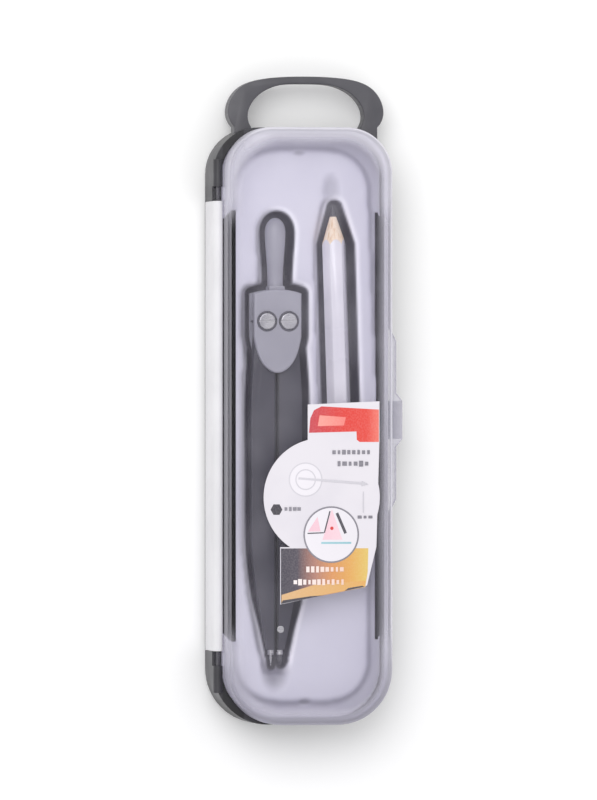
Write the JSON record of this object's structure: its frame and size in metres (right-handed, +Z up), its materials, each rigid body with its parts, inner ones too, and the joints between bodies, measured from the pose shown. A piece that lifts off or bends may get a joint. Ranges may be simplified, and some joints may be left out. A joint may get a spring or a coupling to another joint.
{
  "type": "drafting compass set",
  "caption": "Hinged drawing-instrument box with a clear lid, carry handle and formed tray holding a geared compass and a short pencil.",
  "frame": {"origin": "middle of the base's flat underside, under the centre of the box", "axes": "+Z up through the lid, +Y along the box to the carry handle, -X the hinge side and +X the latch side"},
  "size_m": [0.0602, 0.2043, 0.0252],
  "materials": {
    "dark_abs": "moulded dark grey ABS, satin",
    "white_pp": "moulded white polypropylene, satin",
    "steel_pin": "bright drawn steel wire",
    "grey_abs": "moulded blue-grey ABS, satin",
    "tray_ps": "vacuum-formed pale lavender polystyrene",
    "clear_lid": "clear polystyrene with a fine frost",
    "label_paper": "printed paper label, laminated",
    "leg_abs": "moulded dark grey ABS, satin",
    "plated_steel": "nickel-plated steel",
    "silver_abs": "silver-grey lacquer, satin",
    "nut_brass": "machined brass",
    "graphite": "graphite lead",
    "pencil_wood": "silver-white lacquer over softwood"
  },
  "bodies": {
    "case_base": {"base_shell": "dark_abs", "hinge_spine": "white_pp", "hinge_pins": "steel_pin", "latch_catch": "grey_abs", "carry_handle": "dark_abs", "tray_insert": "tray_ps"},
    "lid": {"lid_shell": "clear_lid", "label_sticker": "label_paper"},
    "needle_leg": {"needle_leg": "leg_abs", "needle_sleeve": "plated_steel", "compass_needle": "plated_steel"},
    "compass_head": {"compass_grip": "silver_abs", "head_front_cover": "silver_abs", "head_rear_cover": "silver_abs", "pivot_screws": "plated_steel", "pivot_nuts": "nut_brass"},
    "lead_leg": {"lead_leg": "leg_abs", "lead_sleeve": "plated_steel", "compass_lead": "graphite", "lead_clamp_screw": "plated_steel"},
    "pencil": {"pencil_barrel": "pencil_wood", "pencil_lead": "graphite"}
  },
  "joints": [
    {"name": "lid_hinge", "type": "hinge", "parent": "case_base", "child": "lid", "pos_m": [-0.0266, 0, 0.016], "axis": [0, -1, 0], "range_deg": [0, 180]},
    {"name": "compass_lift", "type": "slide", "parent": "case_base", "child": "needle_leg", "axis": [0, 0, 1], "range_m": [0, 0.0566]},
    {"name": "needle_leg_pivot", "type": "hinge", "parent": "needle_leg", "child": "compass_head", "pos_m": [-0.0116, 0.033, 0.015], "axis": [0, 0, 1], "range_deg": [0, 32.4]},
    {"name": "lead_leg_pivot", "type": "hinge", "parent": "compass_head", "child": "lead_leg", "pos_m": [-0.0046, 0.033, 0.015], "axis": [0, 0, 1], "range_deg": [0, 32.4]},
    {"name": "pencil_lift", "type": "slide", "parent": "case_base", "child": "pencil", "axis": [0, 0, 1], "range_m": [0, 0.1257]}
  ],
  "couplings": [
    {"joint": "compass_lift", "follows": "lid_hinge", "m_per_rad": 0.018},
    {"joint": "needle_leg_pivot", "follows": "lid_hinge", "ratio": 0.18},
    {"joint": "lead_leg_pivot", "follows": "lid_hinge", "ratio": 0.18},
    {"joint": "pencil_lift", "follows": "lid_hinge", "m_per_rad": 0.04}
  ]
}
